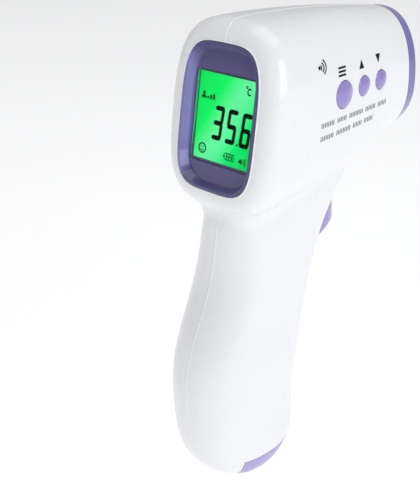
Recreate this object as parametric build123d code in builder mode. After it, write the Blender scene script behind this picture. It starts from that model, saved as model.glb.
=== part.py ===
from build123d import *
import math
import os

# Infrared forehead thermometer, pistol shaped, as an assembly of its separate pieces.
# Millimetres. The origin is the centre of the round sensor mouth in the nose.
# +Y is the way it aims, -Y faces the user, +X is the side with the buttons, +Z is up.

# ---------------------------------------------------------------- driving dimensions
wall = 2.0                # thickness of the case
fit = 0.15                # gap round a moving or dropped-in piece
face_tilt = 7.0           # the display face looks up by this angle
face_y = -75.7            # where the display face crosses the height of the mouth
face_round = 6.0          # rounding of the edge round the display face
crease_round = 7.0        # blend between the head and the handle
ring_length = 5.5         # coloured ring at the nose

mouth_radius = 8.0
mouth_length = 4.0
cone_end = -16.0          # back of the sensor cone

display_x = 11.1          # half the visible width of the display
display_z = 12.75         # half its visible height
display_v = -5.0          # its centre, measured up the tilted face
bezel_v = -4.5

board_face = 11.2         # outer face of the main board, towards the buttons
board_thick = 1.6

pivot_y = -36.5           # trigger pivot
pivot_z = -39.5
pivot_half = 7.2          # the pivot pin ends inside the walls of the case
trigger_half = 6.0

cell_radius = 5.2
cell_length = 44.0
cell_x = 5.5
cell_lean = 7.0

door_rear = -75.4
door_hinge_y = -73.7      # axis of the battery door's hinge
door_hinge_z = -119.5
door_split = -112.9       # parting line of the battery door at the middle of the handle
door_slope = 4.5
handle_middle = -63.0     # y of the middle of the handle at its foot

# Head stations from the display face to the nose:
# y, half width, top, bottom, widest height, squareness of the top, of the bottom
head_stations = [
    (face_y, 22.3, 23.2, -33.0, -4.0, 2.9, 3.4),
    (-56.0, 21.1, 23.6, -31.4, -4.0, 2.9, 3.0),
    (-30.0, 18.5, 22.7, -27.4, -3.8, 2.7, 2.5),
    (0.0, 15.2, 19.9, -19.5, -3.5, 2.25, 2.0),
]
# Handle stations from inside the head to the foot: z, rear, front, half width
handle_stations = [
    (-12.0, -66.0, -18.0, 13.0),
    (-27.6, -73.5, -23.0, 15.0),
    (-40.0, -75.7, -33.2, 15.6),
    (-53.5, -77.7, -39.4, 15.8),
    (-74.0, -85.2, -43.2, 16.0),
    (-92.0, -88.0, -45.8, 16.1),
    (-103.0, -86.8, -46.0, 16.2),
    (-110.0, -85.2, -46.4, 16.1),
    (-115.5, -82.8, -49.8, 15.3),
    (-119.0, -80.2, -54.2, 13.7),
    (-121.0, -77.2, -59.0, 11.2),
]
handle_squareness = 2.25

# Buttons: name, y, z, radius, x of the case surface there
buttons = [
    ("set", -44.0, 0.9, 4.1, 19.7),
    ("up", -33.1, 1.6, 3.0, 18.6),
    ("down", -23.4, 1.8, 3.0, 17.5),
]
# Case screws: y, z
screw_places = [(-12.5, 13.5), (-12.5, -14.0), (-62.0, 17.0), (-67.5, -44.0), (-79.0, -98.0)]

os.makedirs("parts", exist_ok=True)


def save(piece, name):
    """Label one finished piece and write it."""
    piece.part.label = name
    export_step(piece.part, "parts/" + name + ".step")


def face_plane(depth):
    """Plane of the display face, moved into the case by depth; its y runs up the face."""
    lean = math.radians(face_tilt)
    tilted = Plane(origin=(0, face_y, 0), x_dir=(1, 0, 0),
                   z_dir=(0, -math.cos(lean), math.sin(lean)))
    return tilted.offset(-depth)


def cell_plane(height):
    """Plane across the two cells, at a height above their lower ends."""
    lean = math.radians(cell_lean)
    along = (0, math.sin(lean), math.cos(lean))
    foot = Plane(origin=(0, -61.2, -114.0), x_dir=(1, 0, 0), z_dir=along)
    return foot.offset(height)


def oval(half_width, top, bottom, widest, square_top, square_bottom, count=24):
    """Points of a closed egg-shaped outline, from the superellipse formula."""
    points = []
    for step in range(count):
        angle = 2 * math.pi * step / count
        across = math.cos(angle)
        up = math.sin(angle)
        power = square_top if up >= 0 else square_bottom
        reach = top - widest if up >= 0 else widest - bottom
        x = half_width * math.copysign(abs(across) ** (2 / power), across)
        y = widest + reach * math.copysign(abs(up) ** (2 / power), up)
        points.append((x, y))
    return points


def head_shape(inset):
    """The head as one loft, drawn in by inset on every side but the nose."""
    with BuildPart() as shape:
        for y, half, top, bottom, widest, square_top, square_bottom in head_stations:
            if y == face_y:
                place = face_plane(inset)
            else:
                place = Plane(origin=(0, y, 0), x_dir=(1, 0, 0), z_dir=(0, -1, 0))
            with BuildSketch(place):
                with BuildLine():
                    Spline(*oval(half - inset, top - inset, bottom + inset, widest,
                                 square_top, square_bottom), periodic=True)
                make_face()
        loft()
        fillet(shape.edges().sort_by(Axis.Y)[0], face_round - inset)
    return shape.part


def handle_shape(inset):
    """The handle as one loft of level ovals, drawn in by inset, its foot raised by inset."""
    top_z = handle_stations[0][0]
    foot_z = handle_stations[-1][0]
    squeeze = (foot_z + inset - top_z) / (foot_z - top_z)
    with BuildPart() as shape:
        for z, rear, front, half in handle_stations:
            middle = (rear + front) / 2
            reach = (front - rear) / 2 - inset
            with BuildSketch(Plane.XY.offset(top_z + (z - top_z) * squeeze)):
                with BuildLine():
                    points = oval(half - inset, reach, -reach, 0, handle_squareness,
                                  handle_squareness)
                    Spline(*[(x, middle + y) for x, y in points], periodic=True)
                make_face()
        loft()
    return shape.part


def coil(start, radius, wire_radius, pitch, height):
    """A coil spring standing on a plane."""
    with BuildPart() as spring:
        with BuildLine() as turns:
            Helix(pitch=pitch, height=height, radius=radius)
        with BuildSketch(Plane(origin=turns.line @ 0, z_dir=turns.line % 0)):
            Circle(wire_radius)
        sweep(path=turns.line, is_frenet=True)
    return start * spring.part


# ---------------------------------------------------------------- outer skin and cavity
head_skin = head_shape(0)
handle_skin = handle_shape(0)
with BuildPart() as skin:
    add(head_skin)
    add(handle_skin)
    crease = skin.edges().filter_by_position(Axis.Z, -40, -18).filter_by(
        lambda edge: edge.bounding_box().min.Z > -40 and edge.bounding_box().max.Z < -18)
    fillet(crease, crease_round)

head_hollow = head_shape(wall)
handle_hollow = handle_shape(wall)
with BuildPart() as cavity:
    add(head_hollow)
    add(handle_hollow)



def door_space(gap):
    """The space of the battery door: below the sloping parting line and in front of its
    upright rear end, each drawn in by gap."""
    rise = math.tan(math.radians(door_slope))
    front = -30.0
    rear = door_rear + gap
    front_top = door_split + (front - handle_middle) * rise - gap
    rear_top = door_split + (door_rear - handle_middle) * rise - gap
    with BuildPart() as space:
        with BuildSketch(Plane.YZ):
            with BuildLine():
                Polyline((rear, -130), (front, -130), (front, front_top), (rear, rear_top),
                         close=True)
            make_face()
        extrude(amount=30, both=True)
    return space.part


door_opening = door_space(0)

knuckle_radius = 1.4
knuckle_half = 7.0
ear_outer = 9.0
ear_reach = 3.4           # from the hinge back to the case
pin_radius = 0.7
hinge_line = Plane(origin=(0, door_hinge_y, door_hinge_z), x_dir=(0, 1, 0), z_dir=(1, 0, 0))

# Behind the hinge and below it the door is round, so that it swings clear of the case
with BuildPart() as rear_trim:
    with BuildSketch(hinge_line):
        with Locations((-3, -2)):
            Rectangle(6, 4)
        Circle(knuckle_radius + 0.05, mode=Mode.SUBTRACT)
    extrude(amount=20, both=True)

# ---------------------------------------------------------------- case halves
# Trigger opening, cut through the front of the neck
with BuildPart() as trigger_window:
    with BuildSketch(Plane.YZ):
        with BuildLine():
            Polyline((-42.5, -35.8), (-20, -35.8), (-20, -54.2), (-42.5, -54.2), close=True)
        make_face()
    extrude(amount=trigger_half + 0.3, both=True)

bezel_half = 15.0
bezel_reach = 21.5


def bezel_outline(grow):
    """Barrel-shaped outline of the display bezel, grown by grow."""
    return [(x, bezel_v + y) for x, y in
            oval(bezel_half + grow, bezel_reach + grow, -bezel_reach - grow, -3.0, 4.0, 4.0)]


with BuildPart() as bezel_window:
    with BuildSketch(face_plane(-3)):
        with BuildLine():
            Spline(*bezel_outline(0.1), periodic=True)
        make_face()
    extrude(amount=-(3 + wall + 1))

switch_rib_y = -43.1      # front face of the trigger's small board
trigger_board_half = 9.0
screw_seat = 3.5
board_screws = [(-57.0, 8.5), (-57.0, -12.0), (-27.0, -11.5)]


def across(x, y, z, side=1):
    """Plane square to X at a point, facing +X or -X; its x runs along +Y."""
    return Plane(origin=(x, y, z), x_dir=(0, 1, 0), z_dir=(side, 0, 0))


def inner_rod(start, radius):
    """A round boss from a plane out to the case, cut off at the case's skin."""
    with BuildPart() as rod:
        with BuildSketch(start):
            Circle(radius)
        extrude(amount=14)
        add(skin.part, mode=Mode.INTERSECT)
    return rod.part


def inner_block(start, width, height, depth):
    """A block from a plane out to the case, cut off at the case's skin."""
    with BuildPart() as block:
        with BuildSketch(start):
            Rectangle(width, height)
        extrude(amount=depth)
        add(skin.part, mode=Mode.INTERSECT)
    return block.part


# Rib that carries the sensor barrel
with BuildPart() as barrel_rib:
    with BuildSketch(Plane(origin=(0, -17.0, 0), x_dir=(1, 0, 0), z_dir=(0, -1, 0))):
        Rectangle(60, 80)
        Circle(8.05, mode=Mode.SUBTRACT)
    extrude(amount=1.6)
    add(skin.part, mode=Mode.INTERSECT)


def case_half(side):
    """One half of the case: side is +1 for the button side, -1 for the screw side."""
    boss_radius = 2.6 if side > 0 else 3.4
    fittings = [inner_rod(across(0, y, z, side), boss_radius) for y, z in screw_places]
    fittings.append(inner_rod(across(side * 7.6, pivot_y, pivot_z, side), 2.4))
    fittings.append(inner_block(across(side * 7.6, switch_rib_y - 0.6, -50, side), 3.6, 13, 8))
    if side > 0:
        fittings += [inner_rod(across(board_face, y, z), 2.0) for y, z in board_screws]
    with BuildPart() as half:
        add(skin.part)
        add(cavity.part, mode=Mode.SUBTRACT)
        add(barrel_rib.part)
        for fitting in fittings:
            add(fitting)
        # groove for the trigger's small board and hole for its pivot pin
        with BuildSketch(across(0, switch_rib_y - 0.6, -50, side)):
            Rectangle(1.2, 12.1)
        extrude(amount=trigger_board_half, mode=Mode.SUBTRACT)
        with BuildSketch(across(0, pivot_y, pivot_z, side)):
            Circle(1.25)
        extrude(amount=pivot_half + 0.1, mode=Mode.SUBTRACT)
        if side > 0:
            for y, z in board_screws:
                with BuildSketch(across(board_face, y, z)):
                    Circle(0.75)
                extrude(amount=3.6, mode=Mode.SUBTRACT)
            for name, y, z, radius, surface in buttons:
                with BuildSketch(across(10, y, z)):
                    Circle(radius + fit)
                extrude(amount=20, mode=Mode.SUBTRACT)
            for y, z in screw_places:
                with BuildSketch(across(0, y, z)):
                    Circle(0.85)
                extrude(amount=8, mode=Mode.SUBTRACT)
        else:
            for y, z in screw_places:
                with BuildSketch(across(0, y, z, -1)):
                    Circle(1.1)
                extrude(amount=6, mode=Mode.SUBTRACT)
                with BuildSketch(across(-screw_seat, y, z, -1)):
                    Circle(2.5)
                extrude(amount=30, mode=Mode.SUBTRACT)
        add(trigger_window.part, mode=Mode.SUBTRACT)
        add(bezel_window.part, mode=Mode.SUBTRACT)
        add(door_opening, mode=Mode.SUBTRACT)
        # hinge ear for the battery door's pin
        with BuildSketch(across(side * (knuckle_half + fit), door_hinge_y, door_hinge_z, side)):
            Circle(knuckle_radius - 0.05)
            with Locations((-ear_reach / 2, side * 0.6)):
                Rectangle(ear_reach, 1.5)
        extrude(amount=ear_outer - knuckle_half - fit)
        with BuildSketch(across(0, door_hinge_y, door_hinge_z, side)):
            Circle(pin_radius + 0.05)
        extrude(amount=ear_outer - 0.1, mode=Mode.SUBTRACT)
        # the nose end is a separate ring
        split(bisect_by=Plane(origin=(0, -ring_length, 0), z_dir=(0, 1, 0)), keep=Keep.BOTTOM)
        split(bisect_by=Plane.YZ, keep=Keep.TOP if side > 0 else Keep.BOTTOM)
    return half


right_shell = case_half(1)
save(right_shell, "right_shell")
left_shell = case_half(-1)
save(left_shell, "left_shell")

# ---------------------------------------------------------------- nose and sensor
plate_back = -3.0         # back of the ring's front plate
ring_bore = 10.35
ring_cavity = head_shape(wall + 0.2)
tongue_outer = head_shape(wall + fit)
tongue_inner = head_shape(wall + 1.6)
nose_zone = Plane(origin=(0, -ring_length, 0), z_dir=(0, 1, 0))

with BuildPart() as nose_ring:
    add(head_skin)
    split(bisect_by=nose_zone, keep=Keep.TOP)
    fillet(nose_ring.faces().sort_by(Axis.Y)[-1].outer_wire().edges(), 1.8)
    # shallow dish in the front plate
    with BuildSketch(Plane(origin=(0, 0, 0), x_dir=(1, 0, 0), z_dir=(0, -1, 0))):
        with BuildLine():
            Spline(*oval(12.0, 16.7, -16.3, -3.5, 2.25, 2.0), periodic=True)
        make_face()
        Circle(11.6, mode=Mode.SUBTRACT)
    extrude(amount=0.8, mode=Mode.SUBTRACT)

with BuildPart() as ring_hollow:
    add(ring_cavity)
    split(bisect_by=Plane(origin=(0, plate_back, 0), z_dir=(0, 1, 0)), keep=Keep.BOTTOM)

with BuildPart() as ring_tongue:
    add(tongue_outer)
    add(tongue_inner, mode=Mode.SUBTRACT)
    split(bisect_by=Plane(origin=(0, -8.5, 0), z_dir=(0, 1, 0)), keep=Keep.TOP)
    split(bisect_by=Plane(origin=(0, plate_back, 0), z_dir=(0, 1, 0)), keep=Keep.BOTTOM)

with BuildPart() as nose_ring_piece:
    add(nose_ring.part)
    add(ring_hollow.part, mode=Mode.SUBTRACT)
    add(ring_tongue.part)
    with BuildSketch(Plane(origin=(0, 0, 0), x_dir=(1, 0, 0), z_dir=(0, -1, 0))):
        Circle(ring_bore)
    extrude(amount=20, mode=Mode.SUBTRACT)
save(nose_ring_piece, "nose_ring")

# Funnel from the mouth to the sensor, with a flange behind the ring's plate
with BuildPart() as sensor_cone:
    with BuildSketch(Plane.YZ):
        with BuildLine():
            Polyline((0, mouth_radius), (0, ring_bore - 0.05), (plate_back, ring_bore - 0.05),
                     (plate_back, 11.3), (-4.6, 11.3), (-4.6, 9.4), (cone_end, 6.6),
                     (cone_end, 4.8), (-mouth_length, mouth_radius), close=True)
        make_face()
    revolve(axis=Axis.Y)
save(sensor_cone, "sensor_cone")

with BuildPart() as sensor_holder:
    with BuildSketch(Plane.YZ):
        with BuildLine():
            Polyline((cone_end, 4.9), (cone_end, 8.0), (-29, 8.0), (-29, 6.8), (-30.5, 6.8),
                     (-30.5, 4.65), (-17, 4.65), (-17, 4.9), close=True)
        make_face()
    revolve(axis=Axis.Y)
save(sensor_holder, "sensor_holder")

# Thermopile can: cap with a window hole, header and four pins
with BuildPart() as sensor_can:
    with BuildSketch(Plane.YZ):
        with BuildLine():
            Polyline((-17.2, 2.3), (-17.2, 4.1), (-20.6, 4.1), (-20.6, 4.6), (-21.4, 4.6),
                     (-21.4, 0), (-20.4, 0), (-20.4, 3.7), (-17.6, 3.7), (-17.6, 2.3),
                     close=True)
        make_face()
    revolve(axis=Axis.Y)
    with BuildSketch(Plane(origin=(0, -21.4, 0), x_dir=(1, 0, 0), z_dir=(0, -1, 0))):
        with PolarLocations(2.5, 4, start_angle=45):
            Circle(0.25)
    extrude(amount=3.6)
save(sensor_can, "sensor_can")

with BuildPart() as sensor_lens:
    with BuildSketch(Plane(origin=(0, -17.65, 0), x_dir=(1, 0, 0), z_dir=(0, -1, 0))):
        Circle(3.0)
    extrude(amount=0.6)
save(sensor_lens, "sensor_lens")

with BuildPart() as sensor_board:
    with BuildSketch(Plane(origin=(0, -25.0, 0), x_dir=(1, 0, 0), z_dir=(0, -1, 0))):
        Circle(4.6)
    extrude(amount=1.2)
save(sensor_board, "sensor_board")

# Four leads from the sensor's board round to the inner face of the main board
with BuildPart() as sensor_wires:
    for lead in range(4):
        lead_z = -1.8 + 1.2 * lead
        with BuildLine() as lead_route:
            FilletPolyline((0, -26.2, lead_z), (0, -42.0, lead_z), (9.6, -42.0, lead_z), radius=4.5)
        with BuildSketch(Plane(origin=(0, -26.2, lead_z), x_dir=(1, 0, 0), z_dir=(0, -1, 0))):
            Circle(0.45)
        sweep(path=lead_route.line)
save(sensor_wires, "sensor_wires")

# ---------------------------------------------------------------- display
floor_depth = 2.0         # floor of the bezel's recess
lens_thick = 0.7
glass_depth = 3.2         # front of the display glass
glass_back = 5.0
board_depth = 7.2         # front of the display's board

with BuildPart() as recess:
    for depth, shrink in ((-0.3, 0.9), (floor_depth, 2.2)):
        with BuildSketch(face_plane(depth)):
            with BuildLine():
                Spline(*bezel_outline(-shrink), periodic=True)
            make_face()
    loft()

with BuildPart() as display_bezel:
    with BuildSketch(face_plane(-0.25)):
        with BuildLine():
            Spline(*bezel_outline(0), periodic=True)
        make_face()
    extrude(amount=-(glass_depth + 0.25))
    fillet(display_bezel.edges().sort_by(Axis.Y)[0], 0.4)
    with BuildSketch(face_plane(wall + 0.3)):
        with BuildLine():
            Spline(*bezel_outline(0.8), periodic=True)
        make_face()
    extrude(amount=-(glass_depth - wall - 0.3))
    add(recess.part, mode=Mode.SUBTRACT)
    with BuildSketch(face_plane(floor_depth)):
        with Locations((0, display_v)):
            RectangleRounded(2 * display_x + 1.6, 2 * display_z + 1.6, 1.0)
    extrude(amount=-lens_thick, mode=Mode.SUBTRACT)
    with BuildSketch(face_plane(floor_depth)):
        with Locations((0, display_v)):
            RectangleRounded(2 * display_x, 2 * display_z, 0.5)
    extrude(amount=-5, mode=Mode.SUBTRACT)
    # posts for the display's board
    with BuildSketch(face_plane(glass_depth)):
        with Locations((0, display_v)):
            with GridLocations(29.2, 22, 2, 2):
                Circle(1.7)
    extrude(amount=-(board_depth - glass_depth))
    with BuildSketch(face_plane(board_depth)):
        with Locations((0, display_v)):
            with GridLocations(29.2, 22, 2, 2):
                Circle(0.7)
    extrude(amount=3.4, mode=Mode.SUBTRACT)
save(display_bezel, "display_bezel")

with BuildPart() as display_window:
    with BuildSketch(face_plane(floor_depth)):
        with Locations((0, display_v)):
            RectangleRounded(2 * display_x + 1.4, 2 * display_z + 1.4, 0.9)
    extrude(amount=-lens_thick)
save(display_window, "display_window")

with BuildPart() as lcd_panel:
    with BuildSketch(face_plane(glass_depth)):
        with Locations((0, display_v)):
            Rectangle(25, 31)
    extrude(amount=-(glass_back - glass_depth))
save(lcd_panel, "lcd_panel")

with BuildPart() as lcd_backlight:
    with BuildSketch(face_plane(glass_back)):
        with Locations((0, display_v + 2)):
            Rectangle(25, 27)
    extrude(amount=-(board_depth - glass_back))
save(lcd_backlight, "lcd_backlight")

with BuildPart() as lcd_connector:
    with BuildSketch(face_plane(glass_back)):
        with Locations((0, display_v - 13.9)):
            Rectangle(23, 2.2)
    extrude(amount=-(board_depth - glass_back))
save(lcd_connector, "lcd_connector")

display_board_thick = 1.2
with BuildPart() as display_board:
    with BuildSketch(face_plane(board_depth)):
        with Locations((0, display_v)):
            RectangleRounded(33, 35, 2)
            with GridLocations(29.2, 22, 2, 2):
                Circle(0.9, mode=Mode.SUBTRACT)
    extrude(amount=-display_board_thick)
save(display_board, "display_board")

with BuildPart() as display_screws:
    back = board_depth + display_board_thick
    with BuildSketch(face_plane(back)):
        with Locations((0, display_v)):
            with GridLocations(29.2, 22, 2, 2):
                Circle(1.5)
    extrude(amount=-1.1)
    with BuildSketch(face_plane(back)):
        with Locations((0, display_v)):
            with GridLocations(29.2, 22, 2, 2):
                Circle(0.65)
    extrude(amount=4)
save(display_screws, "display_screws")

# Flat ribbon from the display's board forward to the main board
with BuildPart() as display_ribbon:
    with BuildSketch(Plane.XY.offset(-8)):
        with BuildLine() as ribbon_route:
            FilletPolyline((3.0, -66.2), (3.0, -63.0), (9.4, -63.0), (9.4, -54.0), radius=1.4)
        trace(line_width=0.3)
    extrude(amount=12)
save(display_ribbon, "display_ribbon")

# ---------------------------------------------------------------- main board
switch_height = 1.6
plunger_rise = 0.8
with BuildPart() as main_board:
    with BuildSketch(across(board_face - board_thick, -40, -1.5)):
        RectangleRounded(40, 27, 1.5)
        with Locations(*[(y + 40, z + 1.5) for y, z in board_screws]):
            Circle(1.0, mode=Mode.SUBTRACT)
    extrude(amount=board_thick)
save(main_board, "main_board")

with BuildPart() as board_screw_set:
    with BuildSketch(across(board_face - board_thick, 0, 0, -1)):
        with Locations(*[(y, -z) for y, z in board_screws]):
            Circle(1.7)
    extrude(amount=1.2)
    with BuildSketch(across(board_face - board_thick, 0, 0)):
        with Locations(*[(y, z) for y, z in board_screws]):
            Circle(0.7)
    extrude(amount=4.4)
save(board_screw_set, "board_screws")

# Chips on the inner face of the main board: y, z, width, height, thickness
chips = [(-34.0, -8.0, 9.0, 9.0, 1.2), (-50.0, -9.5, 5.0, 4.0, 1.4), (-33.0, 6.5, 6.0, 5.0, 1.4),
         (-25.5, 6.0, 3.0, 1.6, 0.8), (-25.5, 0.5, 3.0, 1.6, 0.8), (-44.0, -11.0, 3.2, 2.5, 1.8)]
with BuildPart() as board_chips:
    for y, z, width, height, thick in chips:
        with BuildSketch(across(board_face - board_thick, y, z, -1)):
            Rectangle(width, height)
        extrude(amount=thick)
save(board_chips, "board_chips")

with BuildPart() as buzzer:
    with BuildSketch(across(board_face - board_thick, -47.8, 5.5, -1)):
        Circle(4.8)
    extrude(amount=4.2)
    with BuildSketch(across(board_face - board_thick - 4.2, -47.8, 5.5)):
        Circle(1.0)
    extrude(amount=1.2, mode=Mode.SUBTRACT)
save(buzzer, "buzzer")

# ---------------------------------------------------------------- buttons and their switches
dome = 0.9                # height of a button's dome
flange_thick = 0.8
plunger_radius = 1.4
plunger_top = board_face + switch_height + plunger_rise

for name, y, z, radius, surface in buttons:
    with BuildPart() as switch:
        with BuildSketch(across(board_face, y, z)):
            RectangleRounded(5.2, 5.2, 0.4)
        extrude(amount=switch_height)
        with BuildSketch(across(board_face + switch_height, y, z)):
            Circle(plunger_radius + 0.05)
        extrude(amount=-1.2, mode=Mode.SUBTRACT)
    save(switch, name + "_switch")

    with BuildPart() as plunger:
        with BuildSketch(across(board_face + 1.0, y, z)):
            Circle(plunger_radius)
        extrude(amount=plunger_top - board_face - 1.0)
    save(plunger, name + "_plunger")

    flange_top = surface - wall - 0.9
    skirt = surface + 0.2
    ball = (radius ** 2 + dome ** 2) / (2 * dome)
    ball_x = skirt + dome - ball
    half_way = math.asin(radius / ball) / 2
    dome_side = (ball_x + ball * math.cos(half_way), ball * math.sin(half_way))
    with BuildPart() as button:
        with BuildSketch(Plane.XZ):
            with BuildLine():
                Line((plunger_top, 0), (plunger_top, 1.2))
                Line((plunger_top, 1.2), (flange_top - flange_thick, 1.2))
                Line((flange_top - flange_thick, 1.2), (flange_top - flange_thick, radius + 0.9))
                Line((flange_top - flange_thick, radius + 0.9), (flange_top, radius + 0.9))
                Line((flange_top, radius + 0.9), (flange_top, radius))
                Line((flange_top, radius), (skirt, radius))
                ThreePointArc((skirt, radius), dome_side, (skirt + dome, 0))
                Line((skirt + dome, 0), (plunger_top, 0))
            make_face()
        revolve(axis=Axis.X)
    button.part.locate(Location((0, y, z)))
    save(button, name + "_button")

# ---------------------------------------------------------------- case screws
with BuildPart() as case_screws:
    for y, z in screw_places:
        with BuildSketch(across(-screw_seat, y, z, -1)):
            Circle(2.1)
        extrude(amount=1.7)
        with BuildSketch(across(-screw_seat, y, z)):
            Circle(0.8)
        extrude(amount=screw_seat + 7)
        with BuildSketch(across(-screw_seat - 1.7, y, z)):
            Rectangle(2.4, 0.5)
            Rectangle(0.5, 2.4)
        extrude(amount=0.9, mode=Mode.SUBTRACT)
save(case_screws, "case_screws")

# ---------------------------------------------------------------- trigger
trigger_back = -40.5
trigger_gap = 0.12        # from the trigger's back to the plunger of its switch
spring_z = -45.6
with BuildPart() as trigger:
    with BuildSketch(Plane.YZ):
        with BuildLine():
            ThreePointArc((-32.5, -36.7), (-24.9, -43.2), (-31.0, -50.2))
            Polyline((-31.0, -50.2), (-37.5, -53.3), (trigger_back, -53.3), (trigger_back, -41.5),
                     (-39.2, -38.0), (-37.0, -36.7), (-32.5, -36.7))
        make_face()
    extrude(amount=trigger_half, both=True)
    # the finger pad is rounded across as well
    with BuildSketch(Plane.XY.offset(-60)):
        with Locations((0, -34.0)):
            Ellipse(trigger_half, 9.1)
        with Locations((0, -38.0)):
            Rectangle(2 * trigger_half, 8)
    extrude(amount=30, mode=Mode.INTERSECT)
    with BuildSketch(across(-8, pivot_y, pivot_z)):
        Circle(1.25)
    extrude(amount=16, mode=Mode.SUBTRACT)
    with BuildSketch(Plane(origin=(0, trigger_back, spring_z), x_dir=(1, 0, 0), z_dir=(0, 1, 0))):
        Circle(1.9)
    extrude(amount=3.0, mode=Mode.SUBTRACT)
save(trigger, "trigger")

with BuildPart() as trigger_pin:
    with BuildSketch(across(-pivot_half, pivot_y, pivot_z)):
        Circle(1.2)
    extrude(amount=2 * pivot_half)
save(trigger_pin, "trigger_pin")

trigger_switch_z = -51.0
with BuildPart() as trigger_board:
    with BuildSketch(Plane(origin=(0, switch_rib_y, -50), x_dir=(1, 0, 0), z_dir=(0, -1, 0))):
        Rectangle(17.6, 11.6)
    extrude(amount=1.2)
save(trigger_board, "trigger_board")

facing = Plane(origin=(0, switch_rib_y, trigger_switch_z), x_dir=(-1, 0, 0), z_dir=(0, 1, 0))
with BuildPart() as trigger_switch:
    with BuildSketch(facing):
        RectangleRounded(5.2, 4.4, 0.4)
    extrude(amount=1.7)
    with BuildSketch(facing.offset(1.7)):
        Circle(plunger_radius + 0.05)
    extrude(amount=-1.4, mode=Mode.SUBTRACT)
save(trigger_switch, "trigger_switch")

with BuildPart() as trigger_plunger:
    with BuildSketch(facing.offset(1.15)):
        Circle(plunger_radius)
    extrude(amount=trigger_back - trigger_gap - switch_rib_y - 1.15)
save(trigger_plunger, "trigger_plunger")

spring_seat = Plane(origin=(0, switch_rib_y + 0.25, spring_z), x_dir=(1, 0, 0), z_dir=(0, 1, 0))
trigger_coil = coil(spring_seat, 1.5, 0.2, 1.2, 5.0)
with BuildPart() as trigger_spring:
    add(trigger_coil)
save(trigger_spring, "trigger_spring")

# ---------------------------------------------------------------- battery compartment
cradle_thick = 1.2
cradle_foot = 3.0         # height of its open end above the cells' lower ends
cradle_roof = 45.8        # height of the inside of its roof
contact_size = 7.2
with BuildPart() as battery_cradle:
    with BuildSketch(cell_plane(cradle_foot)):
        RectangleRounded(4 * cell_x + 1.8, 2 * cell_radius + 2.2, 6.0)
    extrude(amount=cradle_roof + cradle_thick - cradle_foot)
    with BuildSketch(cell_plane(cradle_foot)):
        RectangleRounded(4 * cell_x, 2 * cell_radius + 0.4, 5.3)
    extrude(amount=cradle_roof - cradle_foot, mode=Mode.SUBTRACT)
save(battery_cradle, "battery_cradle")

nub = 0.8
for name, side in (("right_cell", 1), ("left_cell", -1)):
    with BuildPart() as cell:
        with BuildSketch(cell_plane(0 if side > 0 else nub)):
            with Locations((side * cell_x, 0)):
                Circle(cell_radius)
        extrude(amount=cell_length - nub)
        fillet(cell.edges().filter_by(GeomType.CIRCLE), 0.5)
        with BuildSketch(cell_plane(cell_length - nub if side > 0 else 0)):
            with Locations((side * cell_x, 0)):
                Circle(1.9)
        extrude(amount=nub)
    save(cell, name)

with BuildPart() as positive_contact:
    with BuildSketch(cell_plane(45.4)):
        with Locations((cell_x, 0)):
            Rectangle(contact_size, contact_size)
    extrude(amount=0.4)
    with BuildSketch(cell_plane(cell_length + 0.05)):
        with Locations((cell_x, 0)):
            Circle(2.4)
    extrude(amount=1.35)
save(positive_contact, "positive_contact")

spring_foot = cell_plane(cell_length + 0.35)
spring_foot.origin = spring_foot.from_local_coords((-cell_x, 0, 0))
contact_coil = coil(spring_foot, 2.8, 0.25, 0.7, 1.05)
with BuildPart() as negative_contact:
    add(contact_coil)
    with BuildSketch(cell_plane(45.4)):
        with Locations((-cell_x, 0)):
            Rectangle(contact_size, contact_size)
    extrude(amount=0.4)
save(negative_contact, "negative_contact")

for name, x, end in (("red_wire", 2.2, 1.6), ("black_wire", -2.2, -1.6)):
    with BuildPart() as wire:
        with BuildLine() as wire_route:
            FilletPolyline((x, -55.6, -66.6), (x, -57.0, -48.0), (8.6, -52.0 + end, -30.0),
                           (8.6, -50.0 + end, -12.0), radius=6)
        with BuildSketch(Plane(origin=wire_route.line @ 0, z_dir=wire_route.line % 0)):
            Circle(0.55)
        sweep(path=wire_route.line)
    save(wire, name)

# ---------------------------------------------------------------- battery door
door_block = door_space(fit)
# pedestal for the bridge contact, standing on the door's floor
with BuildPart() as contact_stand:
    with BuildSketch(cell_plane(-5.6)):
        Rectangle(20, 8)
    extrude(amount=4.0)
    add(handle_skin, mode=Mode.INTERSECT)

with BuildPart() as battery_door:
    add(handle_skin)
    add(door_block, mode=Mode.INTERSECT)
    add(handle_hollow, mode=Mode.SUBTRACT)
    add(contact_stand.part)
    # latch tongue behind the front wall of the handle
    with BuildSketch(Plane.XY.offset(-118)):
        with Locations((0, -53.5)):
            Rectangle(8, 1.0)
    extrude(amount=7.5)
    add(rear_trim.part, mode=Mode.SUBTRACT)
    # knuckle between the two ears of the case
    with BuildSketch(across(-knuckle_half, door_hinge_y, door_hinge_z)):
        Circle(knuckle_radius)
        with Locations((1.0, 0.4)):
            Rectangle(2.0, 1.4)
    extrude(amount=2 * knuckle_half)
    for side in (-1, 1):
        with BuildSketch(across(side * knuckle_half, door_hinge_y, door_hinge_z, side)):
            Circle(knuckle_radius + fit)
            with Locations((-2, 0)):
                Rectangle(4, 5)
        extrude(amount=ear_outer - knuckle_half + fit, mode=Mode.SUBTRACT)
    with BuildSketch(across(-knuckle_half, door_hinge_y, door_hinge_z)):
        Circle(pin_radius + 0.05)
    extrude(amount=2 * knuckle_half, mode=Mode.SUBTRACT)
save(battery_door, "battery_door")

with BuildPart() as door_pin:
    with BuildSketch(across(-8.8, door_hinge_y, door_hinge_z)):
        Circle(pin_radius)
    extrude(amount=17.6)
save(door_pin, "door_pin")

with BuildPart() as bridge_contact:
    with BuildSketch(cell_plane(-1.6)):
        Rectangle(18, 6)
    extrude(amount=0.4)
    with BuildSketch(cell_plane(-1.2)):
        with GridLocations(2 * cell_x, 1, 2, 1):
            Circle(1.8)
    extrude(amount=1.15)
save(bridge_contact, "bridge_contact")
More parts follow.
